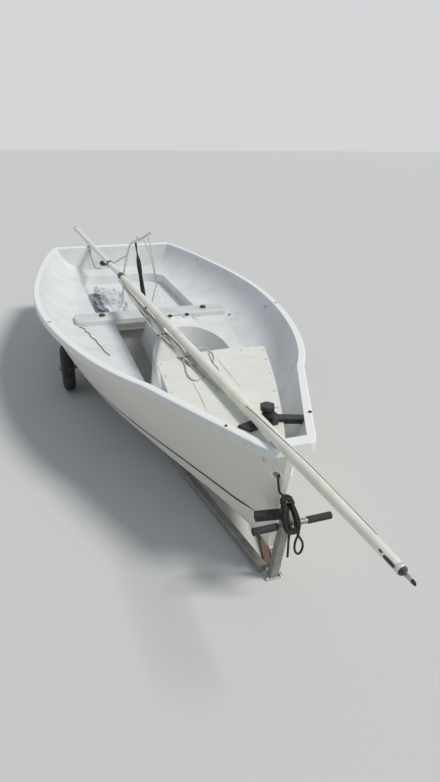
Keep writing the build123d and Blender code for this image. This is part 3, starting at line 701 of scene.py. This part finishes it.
# Strands: share of the half spread, phase of its sway, radius, finish
STRANDS = [
    (-0.95, 0.0, 0.0048, cream_rope),
    (-0.7, 2.1, 0.0026, dark_cord_and_painted_shade),
    (-0.48, 4.0, 0.0056, cream_rope),
    (-0.2, 1.2, 0.0022, wire_grey),
    (0.0, 5.2, 0.0052, grey_rope),
    (0.26, 3.3, 0.0024, dark_cord_and_painted_shade),
    (0.46, 0.8, 0.0058, cream_rope),
    (0.72, 2.6, 0.002, wire_grey),
    (0.92, 4.6, 0.005, cream_rope),
]
STEPS_EACH = 4
SWAY, SWAY_PITCH = 0.16, 0.8
LIFT, LIFT_PHASE = 0.003, 1.2


def bundle_point(share_along, share_across, lift=0.0):
    i = min(int(share_along), len(BUNDLE) - 2)
    (x0, s0, z0, half0), (x1, s1, z1, half1) = BUNDLE[i], BUNDLE[i + 1]
    part = share_along - i
    here = at(x0, s0, z0).lerp(at(x1, s1, z1), part)
    return here + Vector((share_across * (half0 + (half1 - half0) * part), 0, lift))


for number, (share, phase, radius, finish) in enumerate(STRANDS):
    points = []
    for k in range((len(BUNDLE) - 1) * STEPS_EACH + 1):
        sway = SWAY * sin(SWAY_PITCH * k + phase)
        lift = LIFT + LIFT * cos(SWAY_PITCH * k + phase + LIFT_PHASE)
        points.append(bundle_point(k / STEPS_EACH, share + sway, lift))
    strand = spline_piece(f"stay_strand_{number}", points, radius, finish)
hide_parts("stay_bundle")

# Two strands run on along the mast's side to its tack fitting: name, radius, finish, places
RUN_ON = [
    ("halyard_end", 0.0036, cream_rope,
     [(-0.15, 1.02, 0.757), (-0.133, 0.93, 0.754), (-0.117, 0.8, 0.7535), (-0.106, 0.68, 0.754),
      (-0.098, 0.61, 0.756)]),
    ("wire_end", 0.0018, dark_cord_and_painted_shade,
     [(-0.14, 0.98, 0.757), (-0.124, 0.9, 0.752), (-0.108, 0.76, 0.751), (-0.098, 0.64, 0.752)]),
]
for name, radius, finish, points in RUN_ON:
    spline_piece(name, laid(points), radius, finish)
TACK = [
    (-0.112, 0.64, 0.751), (-0.118, 0.628, 0.755), (-0.104, 0.612, 0.76), (-0.084, 0.598, 0.762),
    (-0.072, 0.588, 0.757),
]
TACK_RADIUS = 0.0032
spline_piece("tack_bail", laid(TACK), TACK_RADIUS, dull_alloy)

# Lashings, of thin dark line round the bundle: station, turns, share of the half spread
LASHINGS = [(4.2, 4, 1.12), (6.1, 4, 1.15)]
LASH_STEPS = 24
LASH_PITCH, LASH_HALF_HEIGHT, LASH_RADIUS = 0.018, 0.008, 0.0014
for number, (along, turns, reach) in enumerate(LASHINGS):
    for turn in range(turns):
        points = []
        for k in range(LASH_STEPS + 1):
            angle = tau * k / LASH_STEPS
            here = bundle_point(along + LASH_PITCH * (turn + k / LASH_STEPS), reach * cos(angle))
            points.append(here + Vector((0, 0, LIFT + LASH_HALF_HEIGHT * sin(angle))))
        lashing = spline_piece(f"lashing_{number}_{turn}", points, LASH_RADIUS, dark_cord_and_painted_shade)

# Slack ends: soft braided ropes that lie as they fell on the foredeck, a grey bight, a short cream one,
# a pale loop to port and a thin dark line. Name, thickness, length, finish, places:
FREE_ROPES = [
    ("grey_bight", 0.008, 0.49, grey_rope,
     [(-0.16, 1.16, 0.758), (-0.176, 1.1, 0.754), (-0.17, 1.03, 0.7525), (-0.176, 0.96, 0.7525),
      (-0.194, 0.88, 0.7525), (-0.201, 0.8, 0.7525), (-0.188, 0.755, 0.7525), (-0.16, 0.757, 0.7525),
      (-0.138, 0.79, 0.7525), (-0.118, 0.8, 0.756)]),
    ("cream_bight", 0.008, 0.36, cream_rope,
     [(-0.112, 1.17, 0.764), (-0.122, 1.1, 0.759), (-0.136, 1.03, 0.7525), (-0.148, 0.96, 0.7525),
      (-0.146, 0.89, 0.7525), (-0.132, 0.84, 0.7525), (-0.112, 0.825, 0.755)]),
    ("pale_loop", 0.008, 0.355, cream_rope,
     [(-0.084, 1.075, 0.756), (-0.072, 1.13, 0.76), (-0.046, 1.168, 0.762), (-0.008, 1.168, 0.76),
      (0.018, 1.13, 0.756), (0.022, 1.08, 0.7525), (0.012, 1.03, 0.7525), (-0.004, 0.99, 0.7525),
      (-0.018, 0.96, 0.7525)]),
    ("thin_tail", 0.003, 0.257, dark_cord_and_painted_shade,
     [(0.002, 1.105, 0.75), (-0.006, 1.06, 0.75), (-0.016, 1.0, 0.75), (-0.022, 0.95, 0.75),
      (-0.018, 0.9, 0.75), (-0.024, 0.85, 0.75)]),
]
for name, thick, length, finish, points in FREE_ROPES:
    rope = spline_piece(name, laid(points), thick / 2, finish)

# Strap: broad black webbing, made fast to the raised spreader's tip. It hangs straight down with a few
# twists. Stations: x, s, z, half width, turn in degrees
STRAP = [
    (-0.045, 2.949, 1.052, 0.01, 20), (-0.038, 2.949, 0.97, 0.013, 60), (-0.026, 2.949, 0.88, 0.02, 15),
    (-0.014, 2.949, 0.76, 0.017, -40), (-0.002, 2.949, 0.64, 0.019, 10), (0.016, 2.949, 0.52, 0.016, 45),
    (0.026, 2.949, 0.415, 0.019, 20),
]
STRAP_STEPS = 6
STRAP_THICK = 0.0016
strap_black = finish_of("strap_black", (0.016, 0.017, 0.02), (0.07, 0.07, 0.07), 0.5, 40, 0.85,
                        grain=900, depth=0.0012)
rows = []
for (x0, s0, z0, half0, turn0), (x1, s1, z1, half1, turn1) in zip(STRAP, STRAP[1:]):
    for step in range(STRAP_STEPS):
        share = step / STRAP_STEPS
        ease = share * share * (3 - 2 * share)
        centre = at(x0, s0, z0).lerp(at(x1, s1, z1), share)
        half = half0 + (half1 - half0) * ease
        turn = radians(turn0 + (turn1 - turn0) * ease)
        across = Vector((cos(turn), sin(turn), 0)) * half
        rows.append([centre - across, centre, centre + across])
strap = strip_mesh("spreader_strap", rows, strap_black)
webbing = strap.modifiers.new("webbing", "SOLIDIFY")
webbing.thickness = STRAP_THICK

# Shroud wires: bright twisted steel. Two come down taut from the raised spreader to one shackle, and two
# more run on from it to the deck.
WIRES = [
    [(0.06, 2.94, 1.098), (0.082, 2.94, 0.995), (0.103, 2.94, 0.842), (0.12, 2.94, 0.691)],
    [(0.02, 2.946, 1.07), (0.038, 2.942, 1.04), (0.089, 2.94, 0.892), (0.119, 2.94, 0.691)],
    [(0.12, 2.94, 0.692), (0.131, 2.86, 0.62), (0.142, 2.78, 0.5)],
    [(0.12, 2.94, 0.692), (0.092, 2.965, 0.6), (0.06, 2.992, 0.412)],
]
WIRE_RADIUS = 0.003
wire_bright = finish_of("wire_bright", (0.55, 0.56, 0.57), (0.2, 0.2, 0.2), 0.4, 60, 0.35, metal=0.8,
                        grain=900, depth=0.0003)
for number, points in enumerate(WIRES):
    wire = spline_piece(f"shroud_wire_{number}", laid(points), WIRE_RADIUS, wire_bright)


# Bow fittings: a black bar of two cast arms, let into the bow's sides under the mast, and on it the
# furling drum with its six-sided head, moulded in black nylon.
def slab(name, plan, low, high, finish, edge=0.0015):
    # A straight-sided piece over its plan, x and s, with rounded edges
    shape = bmesh.new()
    base = shape.faces.new([shape.verts.new(at(x, s, low)) for x, s in plan])
    raised = bmesh.ops.extrude_face_region(shape, geom=[base])["geom"]
    bmesh.ops.translate(shape, verts=[v for v in raised if isinstance(v, bmesh.types.BMVert)],
                        vec=(0, 0, high - low))
    bmesh.ops.recalc_face_normals(shape, faces=shape.faces)
    thing = linked(name, mesh_of(name, shape, finish))
    rounding = thing.modifiers.new("edge", "BEVEL")
    rounding.width = edge
    rounding.segments = 2
    return thing


BAR_LOW, BAR_TOP = 0.7485, 0.7655
ARM_STARBOARD_TOP, ARM_PORT_LOW = 0.7615, 0.7405
ARM_STARBOARD = [(-0.145, 0.239), (-0.108, 0.182), (0.02, 0.232), (0.006, 0.29)]
ARM_PORT = [(0.018, 0.29), (0.0, 0.244), (0.146, 0.196), (0.164, 0.236)]
arm = slab("bow_arm_starboard", ARM_STARBOARD, BAR_LOW, ARM_STARBOARD_TOP, knob_black)
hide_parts("bow_bar")
slab("bow_arm_port", ARM_PORT, ARM_PORT_LOW, BAR_TOP, knob_black)
DRUM_X, DRUM_S, DRUM_RADIUS, DRUM_TURN = 0.01, 0.286, 0.0355, 12
DRUM_LOW, DRUM_TOP, DRUM_EDGE = 0.79, 0.8135, 0.003
corners = [radians(60 * k + DRUM_TURN) for k in range(6)]
DRUM_HEAD = [(DRUM_X + DRUM_RADIUS * cos(angle), DRUM_S + DRUM_RADIUS * sin(angle))
             for angle in corners]
drum = slab("furler_drum_head", DRUM_HEAD, DRUM_LOW, DRUM_TOP, knob_black, DRUM_EDGE)
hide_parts("furler_drum")
WAIST = [(0.027, 0.0), (0.027, 0.012), (0.021, 0.018), (0.021, 0.034), (0.028, 0.04), (0.028, 0.044)]
turned("furler_waist", WAIST, at(DRUM_X, DRUM_S, BAR_LOW), (0, 0, 1), knob_black)
DRUM_BODY = [(-0.016, 0.292), (0.04, 0.292), (0.048, 0.236), (0.03, 0.206), (0.004, 0.206)]
BODY_TOP, BODY_EDGE = 0.783, 0.006
slab("furler_body", DRUM_BODY, BAR_LOW, BODY_TOP, knob_black, BODY_EDGE)

# Sail: white sailcloth, folded to and fro and dropped as a crumpled bundle into the stern well. Here its
# layers, drift and creases are made by moving the points of one sheet.
# The dark blue-grey patches on the cloth are painted shade, standing for the shadows in its folds.
sail_cloth_with_fold_shade = finish_of("sail_cloth", (0.76, 0.78, 0.81), (0.13, 0.15, 0.19), 0.75, 11, 0.8,
                       grain=600, depth=0.0008)
sail_low, sail_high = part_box("sail_bundle")
sail_mid = (sail_low + sail_high) / 2
sail_size = sail_high - sail_low
SAIL_LAYERS = 4
SAIL_ACROSS, SAIL_ALONG = 200, 130
SAIL_RIM, SAIL_INSET, SAIL_LEAST = 0.006, 0.02, 0.002
# Shares of the bundle's box: half width, height, and how far each layer draws in towards the top
SAIL_HALF, SAIL_HEIGHT, SAIL_TAPER = 0.45, 0.66, 0.12
# Its swell from end to end: first share of a half turn, share over its length, power
PLUMP_START, PLUMP_SPAN, PLUMP_POWER = 0.05, 0.9, 0.45
WAVE, WAVE_PITCH, WAVE_SHIFT = 0.02, 5, 2.1
# Drift of the layers: pitch of its pattern in x, y and from layer to layer, start, seed, reach
DRIFT_X, DRIFT_Y, DRIFT_LAYER, DRIFT_START, DRIFT_SEED = 7, 6, 1.7, 4, 9
DRIFT_FLAT, DRIFT_UP = 0.03, 0.01
# Creases: pitch and height; the lowest layer has only a share of the height
CRUMPLES = [(6.5, 0.07), (14, 0.036), (29, 0.012)]
CREASE_X, CREASE_SLANT, CREASE_Y, CREASE_LAYER = 1.3, 0.5, 0.7, 0.13
CREASE_FOOT, CREASE_CAP, CREASE_BASE = 0.25, 0.6, 0.15
noise.seed_set(DRIFT_SEED)


def sail_point(u, v):
    # u runs to and fro across the flaked layers, v along the well; both from 0 to 1
    layer = u * SAIL_LAYERS
    count = min(int(layer), SAIL_LAYERS - 1)
    share = layer - count
    swing = -cos(pi * share) * (1 if count % 2 == 0 else -1)
    plump = sin(pi * (PLUMP_START + PLUMP_SPAN * v)) ** PLUMP_POWER
    level = (count + 0.5 - 0.5 * cos(pi * share)) / SAIL_LAYERS
    wave = WAVE * sin(WAVE_PITCH * v + WAVE_SHIFT * count)
    x = sail_mid.x + sail_size.x * SAIL_HALF * plump * (1 - SAIL_TAPER * level) * swing + wave
    y = sail_low.y + SAIL_INSET + (sail_size.y - 2 * SAIL_INSET) * v
    z = sail_low.z + SAIL_RIM + sail_size.z * SAIL_HEIGHT * plump * level
    spot = Vector((x, y, z))
    drift = noise.noise_vector(Vector((x * DRIFT_X, y * DRIFT_Y, count * DRIFT_LAYER + DRIFT_START)))
    spot += Vector((DRIFT_FLAT * drift.x * plump, DRIFT_FLAT * drift.y, DRIFT_UP * drift.z))
    upper = (CREASE_FOOT + (1 - CREASE_FOOT) * level) * plump
    pattern = Vector((x * CREASE_X + y * CREASE_SLANT, y * CREASE_Y, count * CREASE_LAYER))
    for scale, height in CRUMPLES:
        near = noise.voronoi(pattern * scale)[0]
        spot.z += height * upper * (min(CREASE_CAP, near[1] - near[0]) - CREASE_BASE)
    spot.x = min(max(spot.x, sail_low.x), sail_high.x)
    spot.z = min(max(spot.z, sail_low.z + SAIL_LEAST), sail_high.z)
    return spot


rows = [[sail_point(i / SAIL_ACROSS, j / SAIL_ALONG) for j in range(SAIL_ALONG + 1)]
        for i in range(SAIL_ACROSS + 1)]
sail = strip_mesh("sail_cloth", rows, sail_cloth_with_fold_shade)
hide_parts("sail_bundle")

# Transom fittings: two stainless gudgeons for the rudder, bolted to the outside. A dark braided rope
# hangs inside, from the transom's edge down to the hatch.
dressed("gudgeon_upper", screw_steel)
dressed("gudgeon_lower", screw_steel)
STERN_ROPE = [
    (-0.275, 4.56, 0.745), (-0.273, 4.515, 0.742), (-0.268, 4.488, 0.7), (-0.252, 4.474, 0.61),
    (-0.236, 4.466, 0.53), (-0.205, 4.455, 0.512), (-0.165, 4.448, 0.512),
]
STERN_ROPE_THICK = 0.007
stern_rope = spline_piece("stern_rope", laid(STERN_ROPE), STERN_ROPE_THICK / 2, dark_line)

# Launching trolley: a galvanised steel frame of two long arms, an axle and a leaning post with a
# T handle, welded and bolted together. Two padded bunks and a timber rest carry the hull.
galvanised = finish_of("galvanised", (0.34, 0.34, 0.32), (0.16, 0.15, 0.13), 0.6, 14, 0.5, metal=0.6,
                       grain=160, depth=0.0005, rough_dirty=0.75)
pad_rubber = finish_of("black_rubber", (0.018, 0.018, 0.019), (0.09, 0.085, 0.08), 0.5, 25, 0.7,
                       grain=500, depth=0.0008)
foot_pale = finish_of("foot_pale", (0.6, 0.6, 0.57), (0.22, 0.2, 0.17), 0.6, 30, 0.55, metal=0.2,
                      grain=300)
rest_brown = finish_of("keel_rest_timber", (0.15, 0.105, 0.07), (0.08, 0.06, 0.045), 0.6, 20, 0.75,
                       grain=120, depth=0.0012, marks=(0.27, 0.21, 0.15), stretch=(90.0, 6.0, 60.0))
for node in ("axle", "trolley_post", "trolley_handle"):
    dressed(node, galvanised)
dressed("trolley_foot", foot_pale)
dressed("keel_rest", rest_brown)
for name, _ in SIDES:
    for node in ("trolley_arm_", "bunk_bracket_", "axle_cap_"):
        dressed(node + name, galvanised)
    dressed("bunk_" + name, pad_rubber)

# Grips: two sleeves of black rubber with close ribs round them, pushed over the ends of the handle and
# closed at their outer ends.
GRIP_OUT, GRIP_IN = 0.017, 0.0146
GRIP_BORE, GRIP_END, GRIP_LIP, GRIP_MARGIN = 0.0126, 0.015, 0.0004, 0.003
GRIP_RIDGES, RIDGE_STEPS = 9, 4
for name, side in SIDES:
    low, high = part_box("grip_" + name)
    long = high.x - low.x
    profile = [(GRIP_BORE, GRIP_LIP), (GRIP_END, 0.0)]
    for k in range(GRIP_RIDGES * RIDGE_STEPS + 1):
        share = k / (GRIP_RIDGES * RIDGE_STEPS)
        wave = cos(tau * share * GRIP_RIDGES)
        radius = (GRIP_OUT + GRIP_IN) / 2 + (GRIP_OUT - GRIP_IN) / 2 * wave
        profile.append((radius, GRIP_MARGIN + (long - 2 * GRIP_MARGIN) * share))
    profile += [(GRIP_END, long), (0.0001, long)]
    start = Vector((high.x if side < 0 else low.x, (low.y + high.y) / 2, (low.z + high.z) / 2))
    grip = turned("ribbed_grip_" + name, profile, start, (side, 0, 0), pad_rubber)
    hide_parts("grip_" + name)

# Bow pad: a block of black rubber between the trolley's post and the stem, pinned to the post. It is
# long to starboard and only a stub to port.
dressed("snubber_starboard", pad_rubber)
PAD_STUB = [(0.008, 0.008), (0.034, 0.012), (0.034, 0.048), (0.008, 0.044)]
PAD_LOW, PAD_HIGH, PAD_EDGE = 0.4, 0.436, 0.003
stub = slab("snubber_stub_port", PAD_STUB, PAD_LOW, PAD_HIGH, pad_rubber, PAD_EDGE)
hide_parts("snubber_port")

# Trolley bolts: stainless hexagon heads on washers, four through the foot's plate and two through each
# bunk's bracket.
BOLT = [
    (0.0001, 0.007), (0.0065, 0.007), (0.0085, 0.0055), (0.0085, 0.0), (0.0125, 0.0), (0.0125, -0.001),
]
BOLT_SIDES = 6
BOLT_INSET = 0.012
BRACKET_BOLTS = (0.3, 0.7)
foot_low, foot_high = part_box("trolley_foot")
bolts = []
for x in (foot_low.x + BOLT_INSET, foot_high.x - BOLT_INSET):
    for y in (foot_low.y + BOLT_INSET, foot_high.y - BOLT_INSET):
        bolts.append((Vector((x, y, foot_high.z)), (0, 0, 1)))
for name, side in SIDES:
    low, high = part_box("bunk_bracket_" + name)
    for share in BRACKET_BOLTS:
        y = low.y + (high.y - low.y) * share
        bolts.append((Vector((low.x if side < 0 else high.x, y, (low.z + high.z) / 2)), (side, 0, 0)))
trolley_bolts = [turned("bolt", BOLT, place, axis, screw_steel, BOLT_SIDES) for place, axis in bolts]
joined_pieces("trolley_bolts", trolley_bolts)

# Wheels: pneumatic tyres of black rubber with a blocky tread, on grey moulded plastic rims that turn on
# the ends of the axle.
tyre_rubber = finish_of("tyre_rubber", (0.022, 0.022, 0.022), (0.13, 0.12, 0.105), 0.6, 18, 0.8,
                        grain=300, depth=0.001)
rim_grey = finish_of("wheel_rim", (0.24, 0.24, 0.245), (0.14, 0.13, 0.12), 0.5, 14, 0.5)
# Half of the tyre's section: radius, distance from its middle plane, depth of the tread's gaps there
TYRE_SECTION = [
    (0.1045, 0.0285, 0), (0.112, 0.037, 0), (0.124, 0.0435, 0), (0.1385, 0.0458, 0), (0.153, 0.0436, 0),
    (0.163, 0.039, 0), (0.17, 0.034, 0.004), (0.1765, 0.027, 0.005), (0.1808, 0.019, 0.005),
    (0.182, 0.013, 0.004), (0.1795, 0.0115, 0), (0.18, 0.0085, 0), (0.1842, 0.0068, 0.003),
    (0.1848, 0.0025, 0.003),
]
TREAD_BLOCKS = 46
# Rows of a block and of the gap after it: share of the pitch, whether it is the gap's
BLOCK_ROWS = [(0.0, False), (0.66, False), (0.72, True), (0.94, True)]
STAGGER = 0.35
for name, _ in SIDES:
    low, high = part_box("wheel_tyre_" + name)
    hub = (low + high) / 2
    section = TYRE_SECTION + [(r, -across, gap) for r, across, gap in reversed(TYRE_SECTION)]
    rows = []
    for block in range(TREAD_BLOCKS):
        for edge, sunk in BLOCK_ROWS:
            row = []
            for r, across, gap in section:
                late = STAGGER if across < 0 else 0.0
                angle = tau * (block + edge + late) / TREAD_BLOCKS
                radius = r - (gap if sunk else 0)
                row.append(hub + Vector((across, radius * cos(angle), radius * sin(angle))))
            rows.append(row)
    tyre = strip_mesh("tread_tyre_" + name, rows + rows[:1], tyre_rubber, "wheel_" + name)
    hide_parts("wheel_tyre_" + name)
    dressed("wheel_rim_" + name, rim_grey)

# Floor and light: a plain pale floor, a broad soft key from port and ahead, and an even sky, which is
# plain grey where it is seen.
floor_pale = bpy.data.materials.new("floor_pale")
floor_pale.use_nodes = True
floor_shader = floor_pale.node_tree.nodes["Principled BSDF"]
floor_shader.inputs["Base Color"].default_value = (0.62, 0.62, 0.61, 1)
floor_shader.inputs["Roughness"].default_value = 0.9
FLOOR_HALF = 60
shape = bmesh.new()
shape.faces.new([shape.verts.new((x * FLOOR_HALF, y * FLOOR_HALF, 0))
                 for x, y in ((-1, -1), (1, -1), (1, 1), (-1, 1))])
floor = bpy.data.objects.new("floor", mesh_of("floor", shape, floor_pale))
scene.collection.objects.link(floor)

sun = bpy.data.objects.new("sun", bpy.data.lights.new("sun", "SUN"))
sun.data.energy = 2.35
sun.data.angle = radians(14)
sun.data.color = (1.0, 0.97, 0.9)
sun.rotation_euler = Vector((-0.62, 0.5, -1.0)).to_track_quat("-Z", "Y").to_euler()
scene.collection.objects.link(sun)

world = bpy.data.worlds.new("sky")
world.use_nodes = True
air = world.node_tree
ambient = air.nodes["Background"]
ambient.inputs["Color"].default_value = (0.78, 0.88, 1.0, 1)
ambient.inputs["Strength"].default_value = 0.42
backdrop = shader_node(air, "Background", {"Color": (0.66, 0.67, 0.68, 1)})
ray = shader_node(air, "LightPath")
seen = shader_node(air, "Math", operation="MAXIMUM")
sky = shader_node(air, "MixShader")
joined(
    air,
    (ray, "Is Camera Ray", seen, 0), (ray, "Is Glossy Ray", seen, 1), (seen, "Value", sky, 0),
    (ambient, "Background", sky, 1), (backdrop, "Background", sky, 2),
    (sky, "Shader", air.nodes["World Output"], "Surface"),
)
scene.world = world
scene.view_settings.view_transform = "Standard"
